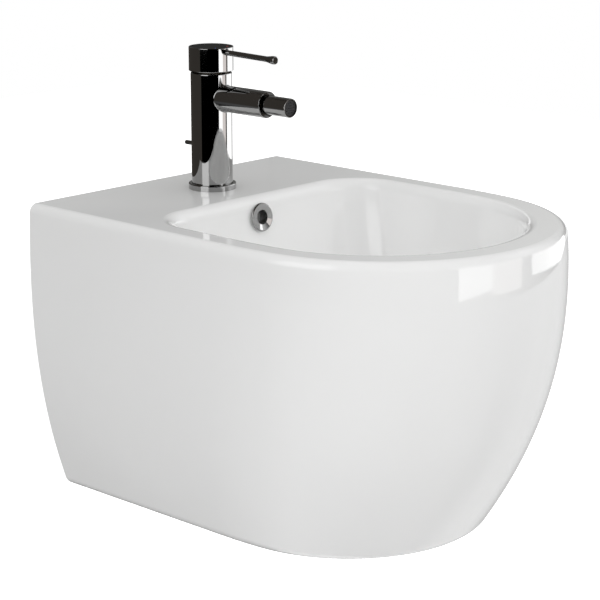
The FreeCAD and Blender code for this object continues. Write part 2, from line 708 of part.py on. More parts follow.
def overflow_frame():
    """The place and turn of the overflow ring: its axis stands square on the bowl's back."""
    reach, lean = overflow_wall()
    turn = FreeCAD.Rotation(FreeCAD.Vector(1, 0, 0), 90 - lean)
    return (0, -reach, s.rim_height - s.overflow_drop), turn


def overflow_cut(body):
    at, turn = overflow_frame()
    depth = s.duct_skin + s.duct_depth
    seat = cylinder(body, "Subtractive", s.overflow_flange + s.fit_gap, (0, 0, 0), s.overflow_lip * 2)
    put(seat, at, turn)
    bore = cylinder(body, "Subtractive", s.overflow_tube + s.fit_gap, (0, 0, 0), depth)
    put(bore, at, turn * TURNS["-z"])


def overflow_ring():
    at, turn = overflow_frame()
    body = turned("overflow_ring", [
        (s.overflow_bore, -s.overflow_length), (s.overflow_tube, -s.overflow_length), (s.overflow_tube, 0),
        (s.overflow_flange, 0), (s.overflow_flange, s.overflow_lip),
        (s.overflow_bore, s.overflow_lip - s.overflow_dish)], at, turn)
    rounded(body, s.overflow_lip / 2, circle_at(s.overflow_flange, s.overflow_lip))
    return body


TAP = (0, -s.tap_reach, s.rim_height)


def base_pieces():
    bore = s.spigot_radius + s.fit_gap
    body = turned("base_ring", [
        (s.gasket_outer, 0), (s.base_radius, 0), (s.base_radius, s.base_height), (bore, s.base_height),
        (bore, 0), (s.gasket_inner, 0), (s.gasket_inner, s.gasket_depth), (s.gasket_outer, s.gasket_depth)],
        TAP)
    rounded(body, s.base_round, circle_at(s.base_radius, s.base_height))
    ring("base_gasket", s.gasket_inner + s.fit_gap, s.gasket_outer - s.fit_gap, 0, s.gasket_depth, TAP)


def mixer_body():
    slim = s.tap_radius - s.neck_cut
    neck_top = s.base_height + s.neck_height
    body = turned("mixer_body", [
        (0, -s.spigot_drop), (s.spigot_radius, -s.spigot_drop), (s.spigot_radius, s.base_height),
        (slim, s.base_height), (slim, neck_top), (s.tap_radius, neck_top), (s.tap_radius, s.tap_height),
        (0, s.tap_height)], TAP)
    rounded(body, s.tap_round, circle_at(s.tap_radius, s.tap_height))
    cylinder(body, "Additive", s.spout_radius, (0, 0, s.spout_height), s.spout_reach, "-y")
    rounded(body, s.spout_root, spout_edge())
    cavity = s.tap_height - s.cartridge_floor
    cylinder(body, "Subtractive", s.cartridge_radius + s.fit_gap, (0, 0, s.cartridge_floor), cavity * 2)
    nut_bottom = s.cartridge_floor + s.seal_thickness + s.shoulder_height
    cylinder(body, "Subtractive", s.nut_radius + s.fit_gap, (0, 0, nut_bottom), cavity)
    spout_run = s.spout_reach - s.waterway_start
    cylinder(body, "Subtractive", s.waterway, (0, -s.waterway_start, s.spout_height), spout_run, "-y")
    socket_length = s.ball_back + s.socket_depth
    cylinder(body, "Subtractive", s.socket_radius, (0, socket_length - s.spout_reach, s.spout_height),
             socket_length * 2, "-y")
    rounded(body, s.spout_lip, circle_at(s.spout_radius, s.spout_height, s.spout_reach))
    for side in (-1, 1):
        spot = (s.inlet_side * side, -s.inlet_front, -s.spigot_drop)
        cylinder(body, "Subtractive", s.inlet_bore, spot, s.cartridge_floor + s.spigot_drop * 2)
        cylinder(body, "Subtractive", s.inlet_thread, spot, s.inlet_depth)
    cylinder(body, "Subtractive", s.stud_radius, (0, s.stud_back, -s.spigot_drop),
             s.stud_grip + s.spigot_drop)
    lift_cut(body)
    return body


def spout_edge():
    """A test for the edge where the spout leaves the mixer body."""
    radius, bend, height = s.tap_radius.value, s.spout_radius.value, s.spout_height.value

    def chosen(edge):
        middle = edge.valueAt((edge.FirstParameter + edge.LastParameter) / 2)
        from_body = math.hypot(middle.x, middle.y) - radius
        from_spout = math.hypot(middle.x, middle.z - height) - bend
        return abs(from_body) < TOUCH and abs(from_spout) < TOUCH
    return chosen


def lift_cut(body):
    """The lift rod's bore and the upright slot for the lift pin, at the back of the mixer body."""
    rod_top = s.pin_height + s.rod_above + s.lift_travel
    cylinder(body, "Subtractive", s.rod_radius + s.lift_room, (0, s.lift_back, -s.spigot_drop),
             rod_top + s.spigot_drop + s.rod_above)
    half = s.pin_radius + s.pin_room
    depth = s.tap_radius - s.lift_back
    box(body, "Subtractive", (-half, s.lift_back, s.pin_height),
        (half, s.lift_back + depth * 2, s.pin_height + s.lift_travel))
    for height in (s.pin_height, s.pin_height + s.lift_travel):
        cylinder(body, "Subtractive", half, (0, s.lift_back, height), depth * 2, "y")


def port_cuts(body, low, length):
    """The two inlet holes and the outlet hole through a disc of the cartridge."""
    spots = [(-s.inlet_side, -s.inlet_front), (s.inlet_side, -s.inlet_front), (0, -s.outlet_front)]
    for x, y in spots:
        cylinder(body, "Subtractive", s.inlet_bore, (x, y, low), length)


def cartridge_pieces():
    seal = ring_disc("cartridge_seal", s.cartridge_radius, s.cartridge_floor, s.seal_thickness)
    port_cuts(seal, s.cartridge_floor, s.seal_thickness)
    low = s.cartridge_floor + s.seal_thickness
    chamber = low + s.housing_base
    top = low + s.housing_height
    lip = top - s.housing_lip
    shoulder = low + s.shoulder_height
    housing = turned("cartridge_housing", [
        (0, low), (s.cartridge_radius, low), (s.cartridge_radius, shoulder), (s.collar_radius, shoulder),
        (s.collar_radius, top), (s.mouth_radius, top), (s.mouth_radius, lip), (s.chamber_radius, lip),
        (s.chamber_radius, chamber), (0, chamber)], TAP)
    port_cuts(housing, low, s.housing_base)
    fixed = ring_disc("fixed_disc", s.disc_radius, chamber, s.disc_thickness)
    port_cuts(fixed, chamber, s.disc_thickness)
    slider_low = chamber + s.disc_thickness + s.seat_gap
    slider = ring_disc("moving_disc", s.slider_radius, slider_low, s.disc_thickness)
    tip = s.pivot_height - s.tip_reach
    pocket = s.tip_half + s.tip_room
    box(slider, "Subtractive", (-s.tip_half - s.fit_gap, -pocket, tip - s.tip_drop),
        (s.tip_half + s.fit_gap, pocket, slider_low + s.disc_thickness * 2))
    carrier_low = slider_low + s.disc_thickness + s.seat_gap
    carrier_radius = s.chamber_radius - s.fit_gap
    carrier = ring_disc("spindle_carrier", carrier_radius, carrier_low, lip - carrier_low - s.seat_gap)
    slot = s.spindle_half + s.fit_gap
    box(carrier, "Subtractive", (-slot, -s.carrier_slot, carrier_low - s.housing_lip),
        (slot, s.carrier_slot, top))
    cylinder(carrier, "Subtractive", s.pivot_radius, (-s.pivot_half, 0, s.pivot_height),
             s.pivot_half * 2, "x")
    pin = new_body("pivot_pin", TAP)
    cylinder(pin, "Additive", s.pivot_radius, (-s.pivot_half, 0, s.pivot_height), s.pivot_half * 2, "x")
    nut_top = shoulder + s.nut_height
    nut = ring("cartridge_nut", s.collar_radius + s.fit_gap, s.nut_radius, shoulder, nut_top, TAP)
    slot_low = nut_top - s.nut_slot_depth
    for reach_x, reach_y in ((s.nut_radius * 2, s.nut_slot / 2), (s.nut_slot / 2, s.nut_radius * 2)):
        box(nut, "Subtractive", (-reach_x, -reach_y, slot_low), (reach_x, reach_y, slot_low + s.nut_height))
    spindle()


def spindle():
    body = new_body("spindle", TAP)
    half = s.spindle_half
    box(body, "Additive", (-half, -half, s.pivot_height - s.spindle_foot), (half, half, s.spindle_top))
    box(body, "Additive", (-s.tip_half, -s.tip_half, s.pivot_height - s.tip_reach),
        (s.tip_half, s.tip_half, s.pivot_height))
    cylinder(body, "Subtractive", s.pivot_radius + s.seat_gap, (-half * 2, 0, s.pivot_height), half * 4, "x")


def ring_disc(label, radius, low, thickness):
    return turned(label, [(0, low), (radius, low), (radius, low + thickness), (0, low + thickness)], TAP)


def lever_turn():
    """The lever's turn: from upright to forwards, then down by its droop."""
    return FreeCAD.Rotation(FreeCAD.Vector(1, 0, 0), 90 + s.lever_droop.value)


def handle_pieces():
    inner = s.cap_radius - s.cap_wall
    ceiling = s.cap_top - s.cap_roof
    cap = turned("handle_cap", [
        (0, s.hub_bottom), (s.hub_radius, s.hub_bottom), (s.hub_radius, ceiling), (inner, ceiling),
        (inner, s.cap_bottom), (s.cap_radius, s.cap_bottom), (s.cap_radius, s.cap_top), (0, s.cap_top)], TAP)
    rounded(cap, s.cap_round, circle_at(s.cap_radius, s.cap_top))
    rounded(cap, s.cap_round, circle_at(s.cap_radius, s.cap_bottom))
    root = (0, 0, s.lever_height)
    boss = cylinder(cap, "Additive", s.lever_boss, root, inner + s.cap_wall / 2)
    put(boss, root, lever_turn())
    socket = s.spindle_half + s.fit_gap
    box(cap, "Subtractive", (-socket, -socket, s.hub_bottom - s.hub_radius),
        (socket, socket, s.spindle_top + s.fit_gap))
    hollow = sphere(cap, "Subtractive", s.dimple_radius, root)
    put(hollow, (0, s.dimple_depth - s.dimple_radius - s.cap_radius, s.lever_height))
    hole = cylinder(cap, "Subtractive", s.lever_radius + s.seat_gap, root, s.cap_radius * 2)
    put(hole, root, lever_turn())
    for label, side in (("cold_mark", -1), ("hot_mark", 1)):
        spot = (s.mark_side * side, -s.mark_front, s.cap_top - s.mark_depth)
        cylinder(cap, "Subtractive", s.mark_radius + s.seat_gap, spot, s.mark_depth * 2)
        mark = new_body(label, TAP)
        cylinder(mark, "Additive", s.mark_radius, spot, s.mark_depth)
    lever = turned("lever", [
        (0, s.lever_root), (s.lever_radius, s.lever_root), (s.lever_radius, s.lever_flare),
        (s.lever_tip, s.lever_flare + s.flare_length), (s.lever_tip, s.lever_end), (0, s.lever_end)],
        (0, -s.tap_reach, s.rim_height + s.lever_height), lever_turn())
    rounded(lever, s.cap_round, circle_at(s.lever_tip, s.lever_end))


BALL = (0, s.ball_back - s.spout_reach - s.tap_reach, s.rim_height + s.spout_height)
FORWARD = TURNS["-y"]


def nozzle_pieces():
    seat = new_body("ball_seat", BALL, FORWARD)
    sphere(seat, "Additive", s.cup_radius, (0, 0, 0), -s.cup_back_angle, -s.cup_front_angle)
    sphere(seat, "Subtractive", s.ball_radius + s.fit_gap, (0, 0, 0))
    thread = s.socket_radius - s.fit_gap
    turned("spout_ring", [
        (s.ring_wide, s.ring_start), (thread, s.ring_start), (thread, s.ring_end),
        (s.ring_narrow, s.ring_end),
        (s.ring_narrow, s.ring_taper)], BALL, FORWARD)
    ball = new_body("nozzle_ball", BALL, FORWARD)
    sphere(ball, "Additive", s.ball_radius, (0, 0, 0))
    cylinder(ball, "Additive", s.neck_radius, (0, 0, 0), s.neck_length)
    through = s.ball_radius * 2
    cylinder(ball, "Subtractive", s.ball_bore, (0, 0, -through), through + s.neck_length * 2)
    web = s.neck_length
    sleeve = turned("nozzle_sleeve", [
        (s.neck_radius + s.seat_gap, s.sleeve_start), (s.sleeve_radius, s.sleeve_start),
        (s.sleeve_radius, s.sleeve_end), (s.sleeve_bore, s.sleeve_end), (s.sleeve_bore, web),
        (s.neck_radius + s.seat_gap, web)], BALL, FORWARD)
    rounded(sleeve, s.sleeve_lip, circle_at(s.sleeve_radius, s.sleeve_end))
    outer = s.sleeve_bore - s.seat_gap
    ring("nozzle_seal", s.washer_bore, outer, web, web + s.washer_thickness, BALL, FORWARD)
    aerator(outer, web + s.washer_thickness)


def aerator(outer, back):
    """The aerator: a cup with a plate of small holes, one in the middle and two rings round it."""
    face = s.sleeve_end - s.insert_sink
    plate = face - s.insert_plate
    body = turned("aerator_insert", [
        (s.insert_bore, back), (outer, back), (outer, face), (0, face), (0, plate), (s.insert_bore, plate)],
        BALL, FORWARD)
    for count, step in JET_RINGS:
        for index in range(count):
            angle = 2 * math.pi * index / count
            spot = (s.jet_ring * (step * math.cos(angle)), s.jet_ring * (step * math.sin(angle)), plate)
            cylinder(body, "Subtractive", s.jet_radius, spot, s.insert_plate)


def horseshoe(label, top, thickness):
    """A horseshoe washer under the deck, open to the front, with holes for the stud and the lift rod."""
    body = ring_disc(label, s.washer_radius, top - thickness, thickness)
    box(body, "Subtractive", (-s.washer_slot, -s.washer_radius * 2, top - thickness * 2),
        (s.washer_slot, -s.washer_edge, top + thickness))
    stud_hole = s.stud_radius + s.fit_gap
    rod_hole = s.rod_radius + s.rod_washer_room
    for radius, back in ((stud_hole, s.stud_back), (rod_hole, s.lift_back)):
        cylinder(body, "Subtractive", radius, (0, back, top - thickness), thickness)


def fixing_pieces():
    under = -s.deck_wall
    plate_top = under - s.rubber_thickness
    nut_top = plate_top - s.plate_thickness
    horseshoe("rubber_washer", under, s.rubber_thickness)
    horseshoe("clamp_plate", plate_top, s.plate_thickness)
    stud = new_body("mounting_stud", TAP)
    cylinder(stud, "Additive", s.stud_radius, (0, s.stud_back, -s.stud_tail), s.stud_tail + s.stud_grip)
    nut = new_body("stud_nut", TAP)
    nut_foot = (0, s.stud_back, nut_top - s.nut_length)
    prism(nut, HEXAGON_SIDES, s.nut_across / math.sqrt(3), nut_foot, s.nut_length)
    cylinder(nut, "Subtractive", s.stud_radius + s.seat_gap, nut_foot, s.nut_length)


LIFT = (0, s.lift_back - s.tap_reach, s.rim_height)
LEVER_LEVEL = s.rim_height - s.bowl_depth - s.port_drop


def lift_pieces():
    shank = s.pin_shank
    start = s.rod_radius + s.fit_gap
    end = s.tap_radius - s.lift_back + s.pin_out
    pin_at = (0, s.lift_back - s.tap_reach, s.rim_height + s.pin_height)
    pin = turned("lift_pin", [
        (0, -shank), (shank, -shank), (shank, start), (s.pin_radius, start), (s.pin_radius, end), (0, end)],
        pin_at, TURNS["y"])
    rounded(pin, s.pin_round, circle_at(s.pin_radius, end))
    foot = LEVER_LEVEL - s.rim_height - s.rod_below
    rod = new_body("lift_rod", LIFT)
    cylinder(rod, "Additive", s.rod_radius, (0, 0, foot), s.pin_height + s.rod_above - foot)
    tapped = shank + s.seat_gap
    cylinder(rod, "Subtractive", tapped, (0, -tapped, s.pin_height), s.rod_radius * 2, "y")
    lift_fork()


def lift_fork():
    at = (0, s.lift_back - s.tap_reach, LEVER_LEVEL)
    fork = new_body("lift_fork", at)
    box(fork, "Additive", (-s.fork_half, -s.fork_depth, -s.fork_height),
        (s.fork_half, s.fork_depth, s.fork_height))
    slot = s.cross_radius + s.slot_room
    for low, high in ((-s.fork_half, -s.tine_inner), (s.tine_inner, s.fork_half)):
        box(fork, "Additive", (low, -s.tine_end, -s.fork_height), (high, s.fork_depth, s.fork_height))
    box(fork, "Subtractive", (-s.fork_half * 2, -s.slot_end, -slot), (s.fork_half * 2, -s.slot_start, slot))
    cylinder(fork, "Subtractive", s.rod_radius + s.seat_gap, (0, 0, -s.fork_height), s.fork_height * 2)
    cylinder(fork, "Subtractive", s.screw_radius + s.seat_gap, (0, 0, 0), s.fork_depth * 2, "y")
    head = s.fork_depth
    start = s.rod_radius + s.fit_gap
    turned("fork_screw", [
        (0, start), (s.screw_radius, start), (s.screw_radius, head), (s.screw_head, head),
        (s.screw_head, head + s.screw_head_height), (0, head + s.screw_head_height)], at, TURNS["y"])


WASTE = (0, -WASTE_REACH, s.rim_height - s.bowl_depth)


def waste_pieces():
    shelf = -s.flange_thickness
    pipe_end = -s.waste_length
    flange = turned("waste_flange", [
        (s.waste_bore, pipe_end), (s.waste_thread, pipe_end), (s.waste_thread, shelf),
        (s.flange_radius, shelf),
        (s.flange_radius, 0), (s.seat_radius, 0), (s.waste_bore, -s.seat_depth)], WASTE)
    low = -s.window_top - s.window_height
    reach = s.waste_thread * 2
    for reach_x, reach_y in ((reach, s.window_half), (s.window_half, reach)):
        box(flange, "Subtractive", (-reach_x, -reach_y, low), (reach_x, reach_y, -s.window_top))
    inner = s.waste_thread + s.fit_gap
    ring("flange_gasket", inner, s.flange_radius - s.seal_margin, shelf - s.flange_seal, shelf, WASTE)
    under = -s.boss_length
    nut_top = under - s.boss_seal
    nut_low = nut_top - s.lock_height
    ring("boss_gasket", inner, s.boss_radius - s.seal_margin, nut_top, under, WASTE)
    nut = new_body("waste_nut", WASTE)
    prism(nut, OCTAGON_SIDES, s.lock_radius, (0, 0, nut_low), s.lock_height)
    cylinder(nut, "Subtractive", inner, (0, 0, nut_low), s.lock_height)
    waste_tee(nut_low - s.tee_gap, inner)
    shoulder = -s.tee_end - s.tail_shoulder
    turned("tail_pipe", [
        (s.tail_bore, -s.tail_end), (s.tail_radius, -s.tail_end), (s.tail_radius, shoulder),
        (s.tail_spigot, shoulder), (s.tail_spigot, -s.tail_seat), (s.tail_bore, -s.tail_seat)], WASTE)


def waste_tee(top, thread):
    pipe_end = -s.waste_length
    socket = s.tail_spigot + s.fit_gap
    body = turned("waste_tee", [
        (thread, top), (s.tee_radius, top), (s.tee_radius, -s.tee_taper), (s.tee_neck, -s.neck_start),
        (s.tee_neck, -s.tee_end), (socket, -s.tee_end), (socket, -s.tail_seat), (s.tail_bore, -s.tail_seat),
        (s.tee_bore, -s.tee_taper), (s.tee_bore, pipe_end), (thread, pipe_end)], WASTE)
    level = -s.port_drop
    cylinder(body, "Additive", s.port_radius, (0, thread, level), s.port_end - thread, "y")
    cylinder(body, "Subtractive", s.port_bore, (0, 0, level), s.joint_reach, "y")
    sphere(body, "Subtractive", s.joint_radius + s.fit_gap, (0, s.joint_reach, level))
    cylinder(body, "Subtractive", s.seat_ring, (0, s.joint_reach + s.seat_start, level), s.port_end, "y")


PIVOT = (0, s.joint_reach - WASTE_REACH, LEVER_LEVEL)


def pivot_pieces():
    """The pivot rod and its ball joint, lying along Y through the tee's side port."""
    cross = WASTE_REACH - s.joint_reach - s.tap_reach + s.lift_back - s.cross_back
    rod = new_body("pivot_rod", PIVOT)
    sphere(rod, "Additive", s.joint_radius, (0, 0, 0))
    cylinder(rod, "Additive", s.rod_radius, (0, 0, 0), cross + s.cross_tail, "y")
    cylinder(rod, "Additive", s.tongue_radius, (0, 0, 0), s.joint_reach + s.tongue_past, "-y")
    cylinder(rod, "Subtractive", s.screw_radius, (-s.rod_radius * 2, cross, 0), s.rod_radius * 4, "x")
    pin = new_body("cross_pin", (0, s.joint_reach - WASTE_REACH + cross, LEVER_LEVEL))
    shank = s.rod_radius + s.fit_gap
    cylinder(pin, "Additive", s.screw_radius - s.seat_gap, (-shank * 2, 0, 0), shank * 4, "x")
    for low in (-s.fork_half, shank):
        cylinder(pin, "Additive", s.cross_radius, (low, 0, 0), s.fork_half - shank, "x")
    seat_length = s.port_end - s.joint_reach - s.seat_start
    seat = ring("pivot_seat", s.seat_hole, s.seat_ring - s.fit_gap, s.seat_start, s.seat_start + seat_length,
                PIVOT, TURNS["y"])
    sphere(seat, "Subtractive", s.joint_radius + s.fit_gap, (0, 0, 0))
    face = s.port_end - s.joint_reach
    grip = s.port_radius + s.fit_gap
    end = face + s.cap_nut_end
    turned("pivot_nut", [
        (s.cap_nut_hole, face), (grip, face), (grip, face - s.cap_nut_grip),
        (s.cap_nut_radius, face - s.cap_nut_grip), (s.cap_nut_radius, end), (s.cap_nut_hole, end)],
        PIVOT, TURNS["y"])


def plug_pieces():
    """The plug in its open place, with its seal and stem."""
    low = s.plug_clear + s.plug_open
    high = low + s.plug_thickness
    boss = s.ring_seal_inner - s.fit_gap
    boss_low = low - s.ring_seal_height
    head = turned("plug_head", [
        (0, boss_low), (boss, boss_low), (boss, low), (s.plug_radius, low), (s.plug_radius, high),
        (0, high)], WASTE)
    rounded(head, s.plug_round, circle_at(s.plug_radius, high))
    cylinder(head, "Subtractive", s.stem_radius + s.seat_gap, (0, 0, boss_low), s.stem_grip)
    ring("plug_seal", s.ring_seal_inner, s.ring_seal_outer, boss_low, low, WASTE)
    stem = new_body("plug_stem", WASTE)
    level = -s.port_drop
    cylinder(stem, "Additive", s.stem_radius, (0, 0, level), boss_low + s.stem_grip - level)
    box(stem, "Additive", (-s.eye_half, -s.eye_depth, level - s.eye_half),
        (s.eye_half, s.eye_depth, level + s.eye_half))
    vane_low = -s.vane_top - s.vane_height
    for reach_x, reach_y in ((s.vane_reach, s.vane_half), (s.vane_half, s.vane_reach)):
        box(stem, "Additive", (-reach_x, -reach_y, vane_low), (reach_x, reach_y, -s.vane_top))
    cylinder(stem, "Subtractive", s.eye_bore, (0, -s.stem_radius * 2, level), s.stem_radius * 4, "y")


def check_and_write():
    """Stop at any failed object or bad shape, then write one file for each piece."""
    doc.recompute()
    failed = [item for item in doc.Objects if "Invalid" in item.State or "Error" in item.State]
    for item in failed:
        owner = item.getParentGeoFeatureGroup()
        print(f"failed: {item.Name} in {owner.Label if owner else 'the document'}")
    if failed:
        raise RuntimeError("some objects failed")
    os.makedirs("parts", exist_ok=True)
    for piece in pieces:
        shape = piece.Shape
        if shape.isNull() or not shape.isValid() or len(shape.Solids) != 1:
            raise RuntimeError(f"{piece.Label} has a bad shape")
        shape.exportStep(f"parts/{piece.Label}.step")
        print(f"{piece.Label}: {shape.Volume:.0f} mm3")


ceramic_rim()
ceramic_skirt()
ceramic_bowl()
overflow_ring()
base_pieces()
mixer_body()
cartridge_pieces()
handle_pieces()
nozzle_pieces()
fixing_pieces()
lift_pieces()
waste_pieces()
pivot_pieces()
plug_pieces()
check_and_write()
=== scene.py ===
"""A wall-hung bidet with a one-hole lever mixer: finishes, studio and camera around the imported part."""
import math

import bpy
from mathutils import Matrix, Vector

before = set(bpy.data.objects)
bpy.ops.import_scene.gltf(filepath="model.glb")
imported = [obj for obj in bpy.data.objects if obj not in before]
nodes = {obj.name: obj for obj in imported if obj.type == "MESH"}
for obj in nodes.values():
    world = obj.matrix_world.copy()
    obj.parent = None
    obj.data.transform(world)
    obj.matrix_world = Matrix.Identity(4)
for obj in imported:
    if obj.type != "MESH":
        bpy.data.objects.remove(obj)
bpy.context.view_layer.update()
scene = bpy.context.scene

# Camera of the photograph: place in metres, angles in degrees, lens and sensor in millimetres
CAMERA_PLACE = (-1.4370, -1.5321, 0.4993)
CAMERA_AZIMUTH = -47.15
CAMERA_ELEVATION = 14.671
CAMERA_LENS = 120.08
CAMERA_SENSOR = 36.0

# Floor far below the hanging part, so that its shadow stays clear of the picture
FLOOR_LEVEL = -1.2
FLOOR_REACH = 7.0
FLOOR_LIFT = 0.72

# Sky as a light: its level, and the share of it at heights from the horizon, 0, to straight up, 1
SKY_LEVEL = 1.27
SKY_STOPS = ((0.0, 0.0), (0.4, 1.0), (1.0, 0.42))

# Key lamp: direction in degrees, distance and size in metres, power in watts
KEY_TARGET = Vector((0.0, -0.25, -0.05))
KEY_TURN = 9
KEY_RISE = 15
KEY_REACH = 1.3
KEY_SIZE = 0.8
KEY_POWER = 3.6

# Cards: their middle in metres, the widest step between their corners in degrees, and their glow's name
CARD_MIDDLE = Vector((0.0, -0.075, 0.19))
CARD_STEP = 4.0
GLOW = "glow"

# The part of a noise's range that finishes use
NOISE_LOW = 0.3
NOISE_HIGH = 0.7


class Finish:
    """A node material while it is put together."""

    def __init__(self, name):
        self.material = bpy.data.materials.new(name)
        self.material.use_nodes = True
        self.tree = self.material.node_tree
        self.shader = self.tree.nodes["Principled BSDF"]
        self.place = self.add("ShaderNodeTexCoord").outputs["Object"]

    def add(self, kind):
        return self.tree.nodes.new(kind)

    def join(self, source, target):
        self.tree.links.new(source, target)

    def set(self, **values):
        for name, value in values.items():
            self.shader.inputs[name.replace("_", " ")].default_value = value

    def noise(self, scale, detail=3, upright=1):
        """A noise over the piece, packed closer along its height where upright is over 1."""
        mapping = self.add("ShaderNodeMapping")
        mapping.inputs["Scale"].default_value = (1, 1, upright)
        self.join(self.place, mapping.inputs["Vector"])
        noise = self.add("ShaderNodeTexNoise")
        noise.inputs["Scale"].default_value = scale
        noise.inputs["Detail"].default_value = detail
        self.join(mapping.outputs["Vector"], noise.inputs["Vector"])
        return noise.outputs["Fac"]

    def shade(self, noise, first, second):
        """Colours between two shades by a noise."""
        ramp = self.add("ShaderNodeValToRGB")
        low, high = ramp.color_ramp.elements
        low.position, high.position = NOISE_LOW, NOISE_HIGH
        low.color = (*first, 1)
        high.color = (*second, 1)
        self.join(noise, ramp.inputs["Fac"])
        self.join(ramp.outputs["Color"], self.shader.inputs["Base Color"])

    def roughness(self, noise, low, high):
        """Roughness between two values by a noise."""
        node = self.add("ShaderNodeMapRange")
        node.inputs["From Min"].default_value = NOISE_LOW
        node.inputs["From Max"].default_value = NOISE_HIGH
        node.inputs["To Min"].default_value = low
        node.inputs["To Max"].default_value = high
        self.join(noise, node.inputs["Value"])
        self.join(node.outputs["Result"], self.shader.inputs["Roughness"])

    def bump(self, noise, strength, distance, under=None):
        """Fine relief by a noise, on top of an earlier one if there is one under it."""
        node = self.add("ShaderNodeBump")
        node.inputs["Strength"].default_value = strength
        node.inputs["Distance"].default_value = distance
        self.join(noise, node.inputs["Height"])
        if under is not None:
            self.join(under, node.inputs["Normal"])
        self.join(node.outputs["Normal"], self.shader.inputs["Normal"])
        return node.outputs["Normal"]


def glazed_ceramic():
    finish = Finish("glazed_ceramic")
    finish.shade(finish.noise(scale=7), first=(0.905, 0.906, 0.902), second=(0.922, 0.923, 0.919))
    finish.roughness(finish.noise(scale=26, detail=4), low=0.035, high=0.060)
    wave = finish.bump(finish.noise(scale=34, detail=1), strength=0.05, distance=0.0006)
    finish.bump(finish.noise(scale=520, detail=2), strength=0.04, distance=0.00008, under=wave)
    finish.set(IOR=1.5, Coat_Weight=0.25, Coat_Roughness=0.03)
    return finish.material


def polished_chrome():
    finish = Finish("polished_chrome")
    finish.shade(finish.noise(scale=40), first=(0.395, 0.395, 0.392), second=(0.415, 0.415, 0.415))
    finish.roughness(finish.noise(scale=70, detail=5), low=0.015, high=0.045)
    finish.bump(finish.noise(scale=900, detail=2), strength=0.02, distance=0.00004)
    finish.set(Metallic=1.0)
    return finish.material


def machined_metal(name, first, second, low, high, upright):
    """Metal between two shades and two roughnesses, with fine lines around it."""
    finish = Finish(name)
    finish.shade(finish.noise(scale=160, detail=4, upright=upright), first, second)
    finish.roughness(finish.noise(scale=220, detail=4, upright=upright), low, high)
    finish.bump(finish.noise(scale=1400, detail=2, upright=upright), strength=0.12, distance=0.00006)
    finish.set(Metallic=1.0)
    return finish.material


def moulded(name, first, second, low, high, grain, depth, shine=0.5):
    """Rubber, plastic or enamel between two shades and two roughnesses, with a grain of its own."""
    finish = Finish(name)
    finish.shade(finish.noise(scale=120, detail=4), first, second)
    finish.roughness(finish.noise(scale=300, detail=3), low, high)
    finish.bump(finish.noise(scale=grain, detail=3), strength=0.25, distance=depth)
    finish.set(Specular_IOR_Level=shine)
    return finish.material


# Finishes by the names of the part's material slots
FINISHES = {
    "ceramic": glazed_ceramic(),
    "chrome": polished_chrome(),
    "brass": machined_metal("cast_brass", first=(0.58, 0.41, 0.17), second=(0.70, 0.51, 0.23),
                            low=0.24, high=0.42, upright=6),
    "spindle_brass": machined_metal("turned_brass", first=(0.62, 0.45, 0.19), second=(0.72, 0.53, 0.25),
                                    low=0.16, high=0.30, upright=9),
    "steel": machined_metal("stainless_steel", first=(0.46, 0.46, 0.45), second=(0.58, 0.58, 0.57),
                            low=0.18, high=0.34, upright=8),
    "rubber": moulded("black_rubber", first=(0.018, 0.018, 0.018), second=(0.034, 0.034, 0.033),
                      low=0.55, high=0.80, grain=1800, depth=0.00012),
    "alumina": moulded("sintered_alumina", first=(0.74, 0.73, 0.69), second=(0.82, 0.81, 0.78),
                       low=0.28, high=0.42, grain=2400, depth=0.00004),
    "dark_plastic": moulded("dark_plastic", first=(0.010, 0.010, 0.011), second=(0.018, 0.018, 0.020),
                            low=0.30, high=0.48, grain=1500, depth=0.00006, shine=0.25),
    "red_mark": moulded("red_enamel", first=(0.80, 0.07, 0.05), second=(0.90, 0.10, 0.08),
                        low=0.12, high=0.22, grain=900, depth=0.00002),
    "blue_mark": moulded("blue_enamel", first=(0.05, 0.17, 0.80), second=(0.08, 0.22, 0.90),
                         low=0.12, high=0.22, grain=900, depth=0.00002),
}
# Brass painted near black as painted shade, where it shows in narrow gaps
GAP_SHADE_BRASS = machined_metal("brass_painted_shade", first=(0.05, 0.042, 0.030), second=(0.08, 0.064, 0.040),
                            low=0.45, high=0.60, upright=6)
GAP_SHADE_NODES = ("cartridge_nut", "nozzle_ball")

for name, item in nodes.items():
    for place in item.material_slots:
        kind = place.material.name.split(".")[0]
        # Parts that show in narrow gaps get the brass with painted shade
        place.material = GAP_SHADE_BRASS if name in GAP_SHADE_NODES else FINISHES[kind]

# Directions in the studio: a turn is 0 towards the camera and grows to its right, and a rise is upwards
AZIMUTH = math.radians(CAMERA_AZIMUTH)
TOWARDS = Vector((math.sin(AZIMUTH), -math.cos(AZIMUTH), 0.0))
RIGHT = Vector((math.cos(AZIMUTH), math.sin(AZIMUTH), 0.0))


def direction(turn, rise):
    """The unit vector at a turn and a rise in degrees."""
    turn, rise = math.radians(turn), math.radians(rise)
    flat = TOWARDS * math.cos(turn) + RIGHT * math.sin(turn)
    return flat * math.cos(rise) + Vector((0, 0, math.sin(rise)))


def look(item, along):
    """Turns a lamp or a camera to look along a vector."""
    item.rotation_euler = along.to_track_quat("-Z", "Y").to_euler()


def seen_rays(tree):
    """A socket that is 1 for rays from the camera, in reflections and through glass, and 0 for others."""
    path = tree.nodes.new("ShaderNodeLightPath")
    seen = path.outputs["Is Camera Ray"]
    for other in ("Is Glossy Ray", "Is Transmission Ray"):
        either = tree.nodes.new("ShaderNodeMath")
        either.operation = "MAXIMUM"
        tree.links.new(seen, either.inputs[0])
        tree.links.new(path.outputs[other], either.inputs[1])
        seen = either.outputs["Value"]
    return seen


